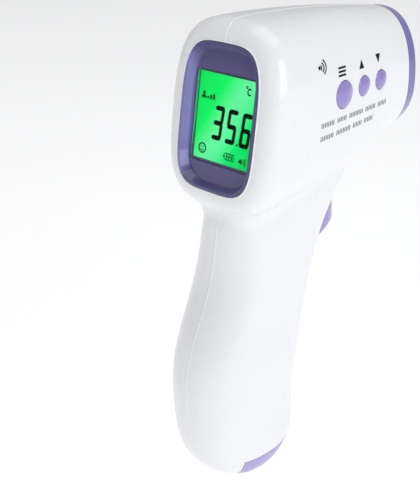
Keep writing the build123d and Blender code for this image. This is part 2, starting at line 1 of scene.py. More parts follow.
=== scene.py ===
"""Studio picture of an infrared forehead thermometer, dressed round its CAD frame."""
import math
import random

import bmesh
import bpy
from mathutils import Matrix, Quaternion, Vector
from mathutils.bvhtree import BVHTree


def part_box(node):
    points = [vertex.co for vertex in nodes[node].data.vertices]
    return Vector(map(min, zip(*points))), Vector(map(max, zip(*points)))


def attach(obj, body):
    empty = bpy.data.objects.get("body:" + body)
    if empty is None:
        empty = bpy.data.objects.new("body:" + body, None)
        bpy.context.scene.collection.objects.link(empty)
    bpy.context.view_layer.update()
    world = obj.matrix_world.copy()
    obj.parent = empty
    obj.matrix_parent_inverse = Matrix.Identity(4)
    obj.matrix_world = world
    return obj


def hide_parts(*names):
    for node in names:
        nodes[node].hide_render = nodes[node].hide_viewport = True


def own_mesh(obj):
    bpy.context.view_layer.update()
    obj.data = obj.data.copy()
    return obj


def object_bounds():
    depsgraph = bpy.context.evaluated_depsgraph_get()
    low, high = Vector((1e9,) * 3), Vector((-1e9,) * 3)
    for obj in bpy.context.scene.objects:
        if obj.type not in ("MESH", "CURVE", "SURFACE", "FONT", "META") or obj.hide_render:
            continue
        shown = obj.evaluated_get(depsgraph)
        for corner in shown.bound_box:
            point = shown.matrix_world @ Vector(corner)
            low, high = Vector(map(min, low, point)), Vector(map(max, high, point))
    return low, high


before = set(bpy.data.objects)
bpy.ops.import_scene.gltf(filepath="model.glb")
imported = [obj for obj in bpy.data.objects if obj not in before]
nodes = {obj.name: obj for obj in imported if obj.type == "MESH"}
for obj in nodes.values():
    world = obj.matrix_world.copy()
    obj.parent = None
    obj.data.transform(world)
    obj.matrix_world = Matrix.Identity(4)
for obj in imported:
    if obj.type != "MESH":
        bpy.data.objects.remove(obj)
cad_low, cad_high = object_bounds()

MM = 0.001
FACE_TILT = math.radians(7.0)        # the display face looks up by this angle
FACE_IN = Vector((0, math.cos(FACE_TILT), -math.sin(FACE_TILT)))
FACE_UP = Vector((0, math.sin(FACE_TILT), math.cos(FACE_TILT)))
FACE_RIGHT = Vector((1, 0, 0))
LCD_THICKNESS = 1.8 * MM
CELL_LEAN = math.radians(7.0)        # the cells lean with the handle
CELL_FOOT, CELL_BAND_TOP = -121 * MM, -77 * MM


# ---------------------------------------------------------------- material helpers
def srgb(red, green, blue):
    """Linear colour from the 0 to 255 values a screen shows."""
    linear = [((c / 255 + 0.055) / 1.055) ** 2.4 if c > 10 else c / 255 / 12.92
              for c in (red, green, blue)]
    return (*linear, 1.0)


def tinted(colour, factor):
    """The same colour, lighter or darker."""
    return tuple(min(1.0, c * factor) for c in colour[:3]) + (1.0,)


class Finish:
    """One node material: a Principled shader and the textures that feed it."""

    def __init__(self, name, **settings):
        self.material = bpy.data.materials.new(name)
        self.material.use_nodes = True
        self.tree = self.material.node_tree
        self.shader = self.tree.nodes["Principled BSDF"]
        self.coords = self.tree.nodes.new("ShaderNodeTexCoord").outputs["Object"]
        self.normal = None
        for socket, value in settings.items():
            self.shader.inputs[socket.replace("_", " ")].default_value = value

    def node(self, kind, **settings):
        made = self.tree.nodes.new(kind)
        for socket, value in settings.items():
            made.inputs[socket.replace("_", " ")].default_value = value
        return made

    def link(self, source, target):
        self.tree.links.new(source, target)

    def noise(self, size, detail=3.0, stretch=(1, 1, 1), rough=0.5):
        """Noise with features about size metres across, drawn out by stretch."""
        place = self.node("ShaderNodeMapping", Scale=stretch)
        texture = self.node("ShaderNodeTexNoise", Scale=1 / size, Detail=detail, Roughness=rough)
        self.link(self.coords, place.inputs["Vector"])
        self.link(place.outputs["Vector"], texture.inputs["Vector"])
        return texture.outputs["Fac"]

    def along(self, direction, start, end):
        """0 to 1 along a direction of the row frame, from start to end in metres."""
        dot = self.tree.nodes.new("ShaderNodeVectorMath")
        dot.operation = "DOT_PRODUCT"
        dot.inputs[1].default_value = direction
        self.link(self.coords, dot.inputs[0])
        return self.spread(dot.outputs["Value"], 0, 1, start, end)

    def spread(self, value, low, high, start=0.3, end=0.7):
        """Maps start to end of a value onto low to high."""
        node = self.node("ShaderNodeMapRange")
        node.inputs["From Min"].default_value = start
        node.inputs["From Max"].default_value = end
        node.inputs["To Min"].default_value = low
        node.inputs["To Max"].default_value = high
        self.link(value, node.inputs["Value"])
        return node.outputs["Result"]

    def ramp(self, value, *stops):
        """Colours by value: stops are (place, colour)."""
        node = self.node("ShaderNodeValToRGB")
        while len(node.color_ramp.elements) < len(stops):
            node.color_ramp.elements.new(0.5)
        for element, (place, colour) in zip(node.color_ramp.elements, stops):
            element.position = place
            element.color = colour
        self.link(value, node.inputs["Fac"])
        return node.outputs["Color"]

    def shade(self, colour, factor):
        """Colour multiplied by a grey value."""
        node = self.tree.nodes.new("ShaderNodeMix")
        node.data_type = "RGBA"
        node.blend_type = "MULTIPLY"
        node.inputs["Factor"].default_value = 1.0
        self.link(colour, node.inputs["A"])
        self.link(factor, node.inputs["B"])
        return node.outputs["Result"]

    def occlusion_shade(self, reach, darkest):
        """Painted shade: a grey value from ambient occlusion that falls to darkest in the gaps and
        corners within reach.
        """
        node = self.node("ShaderNodeAmbientOcclusion", Distance=reach)
        node.samples = 8
        return self.spread(node.outputs["AO"], darkest, 1.0, 0.25, 0.95)

    def relief(self, height, depth):
        """Adds a bump of that many metres."""
        node = self.node("ShaderNodeBump", Strength=1.0, Distance=depth)
        self.link(height, node.inputs["Height"])
        if self.normal:
            self.link(self.normal, node.inputs["Normal"])
        self.normal = node.outputs["Normal"]
        self.link(self.normal, self.shader.inputs["Normal"])

    def colour(self, source):
        self.link(source, self.shader.inputs["Base Color"])

    def roughness(self, source):
        self.link(source, self.shader.inputs["Roughness"])


def moulded(name, colour, rough=0.22, coat=0.35, peel=1.5e-6, **settings):
    """Glossy moulded plastic: faint flow marks, orange peel, handling smears, fine scratches."""
    finish = Finish(name, IOR=1.5, Coat_Weight=coat, Coat_Roughness=0.08, **settings)
    flow = finish.noise(0.03, detail=4)
    finish.colour(finish.ramp(flow, (0.3, tinted(colour, 0.98)), (0.5, colour),
                              (0.72, tinted(colour, 1.02))))
    smears = finish.noise(0.007, detail=6, stretch=(1, 1, 0.6))
    finish.roughness(finish.spread(smears, rough * 0.88, rough * 1.15))
    finish.relief(finish.noise(0.0021, detail=2), peel)
    finish.relief(finish.noise(0.0005, detail=1, stretch=(1, 0.06, 0.5)), peel * 0.3)
    return finish.material


def satin(name, colour, rough=0.5, grain=4e-6, **settings):
    """Satin inner moulding with a spark-eroded grain, its colour darkened by painted shade in gaps
    and corners.
    """
    finish = Finish(name, **settings)
    body = finish.ramp(finish.noise(0.012, detail=5), (0.3, tinted(colour, 0.9)),
                       (0.7, tinted(colour, 1.06)))
    # painted shade: ambient occlusion darkens the colour in gaps and corners
    finish.colour(finish.shade(body, finish.occlusion_shade(0.0015, 0.5)))
    finish.roughness(finish.spread(finish.noise(0.004), rough * 0.85, rough * 1.15))
    finish.relief(finish.noise(0.00035, detail=2), grain)
    return finish.material


def metal(name, colour, rough=0.28, stretch=(1, 1, 1), mark=3e-6):
    """Worked metal: fine lines along stretch, dull patches, small scratches."""
    finish = Finish(name, Metallic=1.0)
    finish.colour(finish.ramp(finish.noise(0.003, detail=5), (0.3, tinted(colour, 0.82)),
                              (0.7, tinted(colour, 1.08))))
    finish.roughness(finish.spread(finish.noise(0.0015, detail=4), rough * 0.7, rough * 1.5))
    finish.relief(finish.noise(0.0003, detail=3, stretch=stretch), mark)
    return finish.material


def board(name):
    """Green solder mask with copper tracks showing faintly through it."""
    finish = Finish(name, Roughness=0.35, Coat_Weight=0.5, Coat_Roughness=0.15)
    tracks = finish.tree.nodes.new("ShaderNodeTexBrick")
    tracks.inputs["Scale"].default_value = 260
    tracks.inputs["Mortar Size"].default_value = 0.035
    tracks.inputs["Color1"].default_value = srgb(18, 88, 48)
    tracks.inputs["Color2"].default_value = srgb(24, 100, 54)
    tracks.inputs["Mortar"].default_value = srgb(70, 130, 70)
    turned = finish.node("ShaderNodeMapping", Rotation=(0, math.pi / 2, 0))
    finish.link(finish.coords, turned.inputs["Vector"])
    finish.link(turned.outputs["Vector"], tracks.inputs["Vector"])
    finish.colour(tracks.outputs["Color"])
    finish.relief(tracks.outputs["Fac"], 1e-5)
    return finish.material


def wire_cover(name, colour):
    """Soft insulation with a dull skin."""
    finish = Finish(name, Coat_Weight=0.1)
    finish.colour(finish.ramp(finish.noise(0.004), (0.3, tinted(colour, 0.85)),
                              (0.7, tinted(colour, 1.1))))
    finish.roughness(finish.spread(finish.noise(0.002), 0.4, 0.55))
    finish.relief(finish.noise(0.0006), 4e-6)
    return finish.material


def cell_jacket(name):
    """Plain two-colour jacket of a dry cell, with a metal end band."""
    finish = Finish(name, Metallic=0.4, Coat_Weight=0.6, Coat_Roughness=0.1)
    upwards = (0, math.sin(CELL_LEAN), math.cos(CELL_LEAN))
    height = finish.along(upwards, CELL_FOOT, CELL_BAND_TOP)
    finish.colour(finish.ramp(height, (0.0, srgb(190, 190, 195)), (0.05, srgb(40, 60, 110)),
                              (0.7, srgb(44, 66, 120)), (0.72, srgb(205, 160, 70))))
    finish.roughness(finish.spread(finish.noise(0.004, detail=4), 0.22, 0.4))
    finish.relief(finish.noise(0.001), 5e-6)
    return finish.material


def lit_glass(name):
    """Backlit display: saturated green with a painted sheen, a pale band across it from corner to
    corner that stands in for the display's view-dependent brightening.
    """
    finish = Finish(name, Roughness=0.25, Emission_Strength=1.08, Specular_IOR_Level=0.1)
    # painted sheen: the pale band along this slant stands in for the display's view-dependent
    # brightening
    slant = FACE_RIGHT * 0.85 - FACE_UP * 0.53
    middle = display_front.dot(slant)
    place = finish.along(slant, middle - 15 * MM, middle + 15 * MM)
    stops = ((0.0, srgb(0, 222, 80)), (0.3, srgb(0, 232, 96)), (0.5, srgb(96, 236, 152)),
             (0.62, srgb(86, 234, 148)), (0.78, srgb(0, 226, 108)), (1.0, srgb(0, 200, 84)))
    glow_and_sheen = finish.ramp(place, *stops)
    cloud = finish.spread(finish.noise(0.016, detail=1), 0.93, 1.05)
    lit = finish.shade(glow_and_sheen, cloud)
    finish.link(lit, finish.shader.inputs["Emission Color"])
    finish.colour(finish.shade(lit, finish.spread(finish.noise(0.0004), 0.04, 0.06)))
    finish.relief(finish.noise(0.0002, detail=0), 5e-7)
    return finish.material


def clear_plate(name):
    """Clear window with a hard coat and a few faint smears."""
    finish = Finish(name, Base_Color=(0.97, 0.99, 0.98, 1), Transmission_Weight=1.0, IOR=1.08)
    finish.roughness(finish.spread(finish.noise(0.009, detail=5), 0.0, 0.04))
    finish.relief(finish.noise(0.012, detail=0), 3e-6)
    return finish.material


def printed(name, colour):
    """Pad-printed ink, slightly uneven."""
    finish = Finish(name, Specular_IOR_Level=0.1)
    finish.colour(finish.ramp(finish.noise(0.0004, detail=3), (0.35, colour),
                              (0.75, tinted(colour, 1.5))))
    finish.roughness(finish.spread(finish.noise(0.001), 0.4, 0.6))
    return finish.material


def bezel_plastic(name):
    """Glossy purple of the display's frame, with painted light: its left wall is a paler lavender
    with a painted highlight, where the key light from the right falls.
    """
    finish = Finish(name, IOR=1.45, Coat_Weight=0.5, Coat_Roughness=0.06)
    painted_light_side = finish.along(FACE_RIGHT, -15 * MM, -10.5 * MM)
    # painted light: lavender and a lighter painted highlight across the left wall, darkening to
    # the frame's own purple towards the middle
    finish.colour(finish.ramp(painted_light_side, (0.0, srgb(116, 112, 176)), (0.45, srgb(132, 128, 196)),
                              (0.85, srgb(98, 90, 150)), (1.0, BEZEL)))
    finish.roughness(finish.spread(finish.noise(0.006, detail=5), 0.13, 0.22))
    finish.relief(finish.noise(0.0018, detail=2), 2e-6)
    return finish.material


# ---------------------------------------------------------------- mesh helpers
def link_mesh(name, mesh_data, body, material, smooth=True):
    """A new piece from a bmesh, riding on a body."""
    mesh = bpy.data.meshes.new(name)
    bmesh.ops.recalc_face_normals(mesh_data, faces=mesh_data.faces)
    mesh_data.to_mesh(mesh)
    mesh_data.free()
    mesh.materials.append(material)
    for face in mesh.polygons:
        face.use_smooth = smooth
    piece = bpy.data.objects.new(name, mesh)
    bpy.context.scene.collection.objects.link(piece)
    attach(piece, body)
    return piece


def stroke(points, width, closed=False):
    """Quads of a line of that width through flat points."""
    count = len(points)
    sides = []
    for index, (x, y) in enumerate(points):
        before = points[(index - 1) % count] if closed or index else points[0]
        after = points[(index + 1) % count] if closed or index < count - 1 else points[-1]
        dx, dy = after[0] - before[0], after[1] - before[1]
        length = math.hypot(dx, dy)
        nx, ny = -dy / length * width / 2, dx / length * width / 2
        sides.append(((x + nx, y + ny), (x - nx, y - ny)))
    spans = count if closed else count - 1
    return [[sides[i][0], sides[(i + 1) % count][0], sides[(i + 1) % count][1], sides[i][1]]
            for i in range(spans)]


def arc(cx, cy, radius_x, radius_y, start, end, count=16):
    """Points on an ellipse from start to end, in degrees."""
    steps = [math.radians(start + (end - start) * k / count) for k in range(count + 1)]
    return [(cx + radius_x * math.cos(a), cy + radius_y * math.sin(a)) for a in steps]


def disc(cx, cy, radius):
    return arc(cx, cy, radius, radius, 0, 360, 20)[:-1]


def capsule(ax, ay, bx, by, width):
    """A bar with round ends between two points."""
    heading = math.degrees(math.atan2(by - ay, bx - ax))
    near = arc(ax, ay, width / 2, width / 2, heading + 90, heading + 270, 8)
    far = arc(bx, by, width / 2, width / 2, heading - 90, heading + 90, 8)
    return near + far


def box_shape(cx, cy, width, height):
    x, y = width / 2, height / 2
    return [(cx - x, cy - y), (cx + x, cy - y), (cx + x, cy + y), (cx - x, cy + y)]


def flat_mesh(shapes, cuts=0):
    """A flat bmesh in x and y from polygons that may share edges, optionally divided."""
    data = bmesh.new()
    for shape in shapes:
        data.faces.new([data.verts.new((x * MM, y * MM, 0)) for x, y in shape])
    bmesh.ops.remove_doubles(data, verts=data.verts, dist=1e-7)
    if cuts:
        bmesh.ops.triangulate(data, faces=data.faces)
        bmesh.ops.subdivide_edges(data, edges=data.edges, cuts=cuts, use_grid_fill=True)
    return data


def thicken(data, lift):
    """Turns a surface into a thin closed solid; lift gives each point's step outwards."""
    steps = {vert: lift(vert.co) for vert in data.verts}
    made = bmesh.ops.extrude_face_region(data, geom=list(data.faces), use_keep_orig=True)
    tops = {tuple(round(c, 9) for c in vert.co): vert
            for vert in made["geom"] if isinstance(vert, bmesh.types.BMVert)}
    for vert, step in steps.items():
        tops[tuple(round(c, 9) for c in vert.co)].co += step
    return data


# ---------------------------------------------------------------- the display's picture
lcd_low, lcd_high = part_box("lcd_panel")
display_front = (lcd_low + lcd_high) / 2 - FACE_IN * (LCD_THICKNESS / 2)
INK_THICKNESS = 0.04 * MM
DIGIT_WIDTH = 2.75
DIGIT_HEIGHT = 8.7
DIGIT_SLANT = math.tan(math.radians(4.5))
BAR_WIDTH = 1.4
STEM_WIDTH = 1.15
SEGMENTS = {"3": "abcdg", "5": "acdfg", "6": "acdefg"}


def digit(value, cx, cy):
    """Seven-segment digit, slanted as on a segment display."""
    half, rise, gap = DIGIT_WIDTH / 2, DIGIT_HEIGHT / 2, 0.32
    bars = {
        "a": (-half + gap, rise, half - gap, rise, BAR_WIDTH),
        "g": (-half + gap, 0, half - gap, 0, BAR_WIDTH),
        "d": (-half + gap, -rise, half - gap, -rise, BAR_WIDTH),
        "f": (-half, gap + 0.3, -half, rise - gap, STEM_WIDTH),
        "b": (half, gap + 0.3, half, rise - gap, STEM_WIDTH),
        "e": (-half, -rise + gap, -half, -gap - 0.3, STEM_WIDTH),
        "c": (half, -rise + gap, half, -gap - 0.3, STEM_WIDTH),
    }
    shapes = [capsule(*bars[letter]) for letter in SEGMENTS[value]]
    return [[(cx + x + y * DIGIT_SLANT, cy + y) for x, y in shape] for shape in shapes]


def unit_mark(cx, cy):
    """Degree ring and C."""
    ring = stroke(disc(cx - 1.1, cy + 1.2, 0.28), 0.28, closed=True)
    return ring + stroke(arc(cx, cy, 0.66, 0.88, 42, 318), 0.42)


def mode_mark(cx, cy):
    """Head and shoulders with three bars beside it."""
    head = [disc(cx - 2.0, cy + 0.6, 0.5)]
    shoulders = [arc(cx - 2.0, cy - 0.95, 0.95, 1.0, 0, 180, 12)]
    bars = [box_shape(cx - 0.3 + 1.2 * k, cy - 0.6 + 0.25 * k, 0.75, 0.7 + 0.5 * k)
            for k in range(3)]
    return head + shoulders + bars


def face_mark(cx, cy):
    """Round smiling mark."""
    ring = stroke(disc(cx, cy, 1.4), 0.42, closed=True)
    eyes = [disc(cx - 0.48, cy + 0.42, 0.22), disc(cx + 0.48, cy + 0.42, 0.22)]
    return ring + eyes + stroke(arc(cx, cy + 0.05, 0.72, 0.76, 210, 330, 8), 0.3)


def battery_mark(cx, cy):
    """Battery outline with three bars and a nub."""
    outline = stroke(box_shape(cx + 0.2, cy, 3.6, 1.8), 0.34, closed=True)
    bars = [box_shape(cx - 0.78 + 0.98 * k, cy, 0.58, 1.0) for k in range(3)]
    return outline + bars + [box_shape(cx - 1.98, cy, 0.36, 0.8)]


def sound_mark(cx, cy):
    """Small loudspeaker with two waves."""
    horn = [(cx - 1.2, cy - 0.38), (cx - 0.7, cy - 0.38), (cx, cy - 0.95), (cx, cy + 0.95),
            (cx - 0.7, cy + 0.38), (cx - 1.2, cy + 0.38)]
    waves = [stroke(arc(cx + 0.1, cy, r, r * 1.3, -42, 42, 6), 0.32) for r in (0.6, 1.25)]
    return [horn] + waves[0] + waves[1]


def on_display(data):
    """Moves a flat mesh onto the display's glass and gives it its thickness."""
    for vert in data.verts:
        vert.co = display_front + FACE_RIGHT * vert.co.x + FACE_UP * vert.co.y
    return thicken(data, lambda point: FACE_IN * -INK_THICKNESS)


def build_display_picture(ink, faint_ink):
    """The reading and the small marks, placed in mm from the middle of the display."""
    digits = digit("3", -2.3, -1.35) + digit("5", 3.15, -1.45) + digit("6", 8.75, -1.55)
    digits.append(disc(5.85, -6.1, 0.36))
    data = on_display(flat_mesh(digits))
    link_mesh("lcd_digits", data, "body", ink, smooth=False)
    marks = (unit_mark(8.6, 9.5) + mode_mark(-7.0, 5.9) + face_mark(-7.7, -9.7)
             + battery_mark(3.2, -10.2) + sound_mark(8.4, -10.5))
    data = on_display(flat_mesh(marks))
    link_mesh("lcd_marks", data, "body", faint_ink, smooth=False)


# ---------------------------------------------------------------- marks printed on the case
PRINT_LIFT = 0.015 * MM
PRINT_THICKNESS = 0.03 * MM
# Marks by the buttons, in mm along the case and up it
UP_MARK = (-34.3, 6.9)
DOWN_MARK = (-24.6, 7.1)
ARROW_HALF = 1.35
ARROW_HEIGHT = 2.7
MENU_ENDS = (-46.6, -43.2)
MENU_TOP = 8.9
MENU_STEP = 1.1
MENU_WIDTH = 0.6
WAVE_MIDDLE = (-56.0, 10.4)
WAVE_RADII = (1.0, 2.1, 3.2)
WAVE_FLATNESS = 0.8
WAVE_WIDTH = 0.5
WAVE_DOT = 0.55
# Rows of plain ticks where the case has small print: start, end, height, rise
TICK_ROWS = ((-54.8, -19.0, -7.0, 0.8), (-54.8, -25.5, -10.9, 1.1))
TICK_HEIGHT = 1.15
TICK_WIDTH = 0.36
TICK_STEP = 0.86
TICK_GAP = 1.5 * TICK_STEP           # more room between groups of ticks
FIRST_GROUP = 8


def tree_of(*names):
    """Ray tree of CAD nodes."""
    points, faces = [], []
    for name in names:
        mesh = nodes[name].data
        start = len(points)
        points.extend(vert.co.copy() for vert in mesh.vertices)
        faces.extend([start + i for i in face.vertices] for face in mesh.polygons)
    return BVHTree.FromPolygons(points, faces)


def build_case_print(ink, soft_ink):
    """Button symbols and two rows of plain ticks on the button side of the case."""
    case = tree_of("right_shell")

    def on_case(data):
        normals = {}
        for vert in data.verts:
            start = Vector((cad_high.x + 0.01, vert.co.x, vert.co.y))
            place, normal, _, _ = case.ray_cast(start, Vector((-1, 0, 0)))
            vert.co = place + normal * PRINT_LIFT
            normals[tuple(round(c, 9) for c in vert.co)] = normal
        return thicken(data, lambda co: normals[tuple(round(c, 9) for c in co)]
                       * PRINT_THICKNESS)

    y, z = UP_MARK
    shapes = [[(y - ARROW_HALF, z), (y + ARROW_HALF, z), (y, z + ARROW_HEIGHT)]]
    y, z = DOWN_MARK
    shapes.append([(y - ARROW_HALF, z + ARROW_HEIGHT), (y + ARROW_HALF, z + ARROW_HEIGHT), (y, z)])
    for row in range(3):
        z = MENU_TOP - MENU_STEP * row
        shapes.append(capsule(MENU_ENDS[0], z, MENU_ENDS[1], z, MENU_WIDTH))
    data = on_case(flat_mesh(shapes, cuts=2))
    link_mesh("button_symbols", data, "body", ink, smooth=False)

    waves = []
    for radius in WAVE_RADII:
        wave = arc(*WAVE_MIDDLE, radius, radius * WAVE_FLATNESS, -50, 50, 8)
        waves += stroke(wave, WAVE_WIDTH)
    waves.append(disc(*WAVE_MIDDLE, WAVE_DOT))
    data = on_case(flat_mesh(waves, cuts=1))
    link_mesh("wave_symbol", data, "body", ink, smooth=False)

    draw = random.Random(11)
    ticks = []
    for start, end, height, rise in TICK_ROWS:
        y, left_in_group = start, FIRST_GROUP
        while y < end:
            base = height + rise * (y - start) / (end - start)
            ticks.append(capsule(y, base, y, base + TICK_HEIGHT, TICK_WIDTH))
            left_in_group -= 1
            y += TICK_STEP
            if not left_in_group:
                y, left_in_group = y + TICK_GAP, draw.randint(3, 9)
    data = on_case(flat_mesh(ticks, cuts=1))
    link_mesh("tick_rows", data, "body", soft_ink, smooth=False)


# ---------------------------------------------------------------- beads that follow the case
SEAM_RADIUS = 0.18 * MM
ON_MIDPLANE = 0.001 * MM
SKIN_STEP = 0.02 * MM                # a look from this far off the skin meets no other part
SIDE_STEP = 0.2 * MM


def bead(name, chains, radius, body, material, closed=False):
    """A thin round bead along chains of points."""
    curve = bpy.data.curves.new(name, "CURVE")
    curve.dimensions = "3D"
    curve.bevel_depth = radius
    curve.bevel_resolution = 3
    curve.use_fill_caps = True
    for chain in chains:
        spline = curve.splines.new("POLY")
        spline.points.add(len(chain) - 1)
        for point, co in zip(spline.points, chain):
            point.co = (*co, 1)
        spline.use_cyclic_u = closed
    curve.materials.append(material)
    piece = bpy.data.objects.new(name, curve)
    bpy.context.scene.collection.objects.link(piece)
    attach(piece, body)
    return piece


def seam_edges():
    """Edges of the right half on the mid-plane that lie on the outer skin."""
    everything = tree_of(*sorted(nodes))
    mesh = nodes["right_shell"].data
    edges = []
    for face in mesh.polygons:
        if abs(face.normal.x) > 0.9:
            continue
        corners = [mesh.vertices[i].co for i in face.vertices]
        for a, b in zip(corners, corners[1:] + corners[:1]):
            if max(abs(a.x), abs(b.x)) > ON_MIDPLANE:
                continue
            start = (a + b) / 2 + face.normal * SKIN_STEP + Vector((SIDE_STEP, 0, 0))
            if everything.ray_cast(start, face.normal)[0] is None:
                edges.append((a.copy(), b.copy()))
    return edges


def chains_of(edges):
    """Joins edges end to end into chains of points."""
    def key(co):
        return tuple(round(c * 1e6) for c in co)

    links, places = {}, {}
    for a, b in edges:
        links.setdefault(key(a), []).append(key(b))
        links.setdefault(key(b), []).append(key(a))
        places[key(a)], places[key(b)] = a, b
    left = set(links)
    chains = []
    while left:
        ends = [k for k in sorted(left) if sum(n in left for n in links[k]) <= 1]
        at = (ends or sorted(left))[0]
        chain = []
        while at is not None:
            left.discard(at)
            chain.append(places[at])
            at = next((n for n in links[at] if n in left), None)
        if len(chain) > 2:
            chains.append(chain)
    return chains


# ---------------------------------------------------------------- the trigger and its spring
SPRING_WIRE = 0.2 * MM
SPRING_TURNS = 5.5
SPRING_CLOSED = 0.9                  # turns at each end that lie flat on each other
SPRING_STEPS = 24                    # points in each turn
CLOSED_PITCH = 2.1 * SPRING_WIRE


def build_trigger_spring(material):
    """Coil spring with closed ends behind the trigger."""
    low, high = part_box("trigger_spring")
    middle = (low + high) / 2
    radius = (high.x - low.x) / 2 - SPRING_WIRE
    length = high.y - low.y - 2 * SPRING_WIRE
    closed_rise = CLOSED_PITCH * SPRING_CLOSED
    open_turns = SPRING_TURNS - 2 * SPRING_CLOSED
    path = []
    for step in range(int(SPRING_TURNS * SPRING_STEPS) + 1):
        turn = step / SPRING_STEPS
        if turn < SPRING_CLOSED:
            rise = closed_rise * turn / SPRING_CLOSED
        elif turn > SPRING_TURNS - SPRING_CLOSED:
            rise = length - closed_rise * (SPRING_TURNS - turn) / SPRING_CLOSED
        else:
            share = (turn - SPRING_CLOSED) / open_turns
            rise = closed_rise + (length - 2 * closed_rise) * share
        angle = 2 * math.pi * turn
        path.append(Vector((middle.x + radius * math.cos(angle), low.y + SPRING_WIRE + rise,
                            middle.z + radius * math.sin(angle))))
    wire = bead("spring_wire", [path], SPRING_WIRE, "body", material)
    coiled = bmesh.new()
    coiled.from_mesh(bpy.data.meshes.new_from_object(wire))
    bpy.data.objects.remove(wire)
    piece = link_mesh("trigger_return_spring", coiled, "body", material)
    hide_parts("trigger_spring")
    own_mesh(piece)


PAD_WELD = 0.001 * MM
PAD_VOXEL = 0.3 * MM
PAD_SOFTENING = 20                   # passes of smoothing, for edges about 1 mm round
PAD_ROOT = -38.5 * MM                # nothing behind this plane is softened
PAD_FRONT = -35.5 * MM               # everything in front of this one is
PAD_TOP = -37.0 * MM
PAD_FULL = -46.0 * MM                # below this height the pad runs back into the handle
PAD_FOOT = -54.0 * MM
PAD_REACH = 1.14                     # the pad stands out this many times as far as the CAD's
HANDLE_FRONT = -32.6 * MM            # front of the handle beside the pad's top
HANDLE_SLOPE = 0.485                 # how fast it runs back below that


def applied_mesh(holder):
    """The object's mesh with its modifiers applied."""
    graph = bpy.context.evaluated_depsgraph_get()
    return bpy.data.meshes.new_from_object(holder.evaluated_get(graph))


def build_trigger_pad(material):
    """The trigger with a round-edged pad that runs back into the handle at its foot."""
    shape = bmesh.new()
    shape.from_mesh(nodes["trigger"].data)
    bmesh.ops.remove_doubles(shape, verts=shape.verts, dist=PAD_WELD)
    closed_mesh = bpy.data.meshes.new("trigger_closed")
    shape.to_mesh(closed_mesh)
    shape.free()
    holder = bpy.data.objects.new("trigger_work", closed_mesh)
    bpy.context.scene.collection.objects.link(holder)
    even = holder.modifiers.new("even_faces", "REMESH")
    even.mode = "VOXEL"
    even.voxel_size = PAD_VOXEL
    holder.data = applied_mesh(holder)
    holder.modifiers.clear()
    for vertex in holder.data.vertices:
        handle = HANDLE_FRONT + HANDLE_SLOPE * (vertex.co.z - PAD_TOP)
        full = min(1.0, max(0.0, (vertex.co.z - PAD_FOOT) / (PAD_FULL - PAD_FOOT)))
        if vertex.co.y > handle:
            reach = PAD_REACH * full * full * (3 - 2 * full)
            vertex.co.y = handle + (vertex.co.y - handle) * reach
    pad = holder.vertex_groups.new(name="pad")
    for vertex in holder.data.vertices:
        share = (vertex.co.y - PAD_ROOT) / (PAD_FRONT - PAD_ROOT)
        pad.add([vertex.index], min(1.0, max(0.0, share)), "REPLACE")
    soften = holder.modifiers.new("round_edges", "SMOOTH")
    soften.factor = 0.5
    soften.iterations = PAD_SOFTENING
    soften.vertex_group = "pad"
    softened = bmesh.new()
    softened.from_mesh(applied_mesh(holder))
    bpy.data.objects.remove(holder)
    piece = link_mesh("trigger_pad", softened, "trigger", material)
    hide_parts("trigger")


# ---------------------------------------------------------------- the lip round the bezel
BEZEL_HALF = 15.0
BEZEL_REACH = 21.5
BEZEL_WIDEST = -3.0
BEZEL_SQUARE = 4.0                   # power of the rounded outline
BEZEL_RAISE = 0.5                    # its middle stands this far above the display's
GLASS_DEPTH = 3.2                    # of the display's glass below the face
LIP_RADIUS = 0.28 * MM
LIP_GROW = 0.3
LIP_LIFT = 0.02


def bezel_ring(grow, lift, count=96):
    """Points round the bezel's outline, grown by grow and lifted off the face."""
    middle = display_front - FACE_IN * (GLASS_DEPTH * MM) + FACE_UP * (BEZEL_RAISE * MM)
    points = []
    for step in range(count):
        angle = 2 * math.pi * step / count
        across, up = math.cos(angle), math.sin(angle)
        reach = BEZEL_REACH + grow + (-BEZEL_WIDEST if up >= 0 else BEZEL_WIDEST)
        x = (BEZEL_HALF + grow) * math.copysign(abs(across) ** (2 / BEZEL_SQUARE), across)
        y = BEZEL_WIDEST + reach * math.copysign(abs(up) ** (2 / BEZEL_SQUARE), up)
        points.append(middle + (FACE_RIGHT * x + FACE_UP * y - FACE_IN * lift) * MM)
    return points


# ---------------------------------------------------------------- finishes
CASE = srgb(243, 244, 247)
BEZEL = srgb(80, 72, 126)
PURPLE = srgb(118, 108, 176)
LAVENDER = srgb(156, 143, 204)
BUTTON = srgb(150, 135, 202)
PALE_LAVENDER = srgb(172, 161, 214)

case_white = moulded("case_white", CASE, rough=0.24, coat=0.4)
steel = metal("screw_steel", srgb(190, 190, 192), stretch=(0.2, 1, 1))
spring_steel = metal("spring_steel", srgb(175, 175, 178), rough=0.35)
nickel = metal("contact_nickel", srgb(214, 210, 200), rough=0.2)
switch_metal = metal("switch_metal", srgb(196, 197, 200), rough=0.3)
brass = metal("sensor_barrel", srgb(205, 170, 96), rough=0.3, stretch=(1, 0.1, 1))
green_board = board("board_green")
black = satin("black_plastic", srgb(34, 34, 37), rough=0.45)

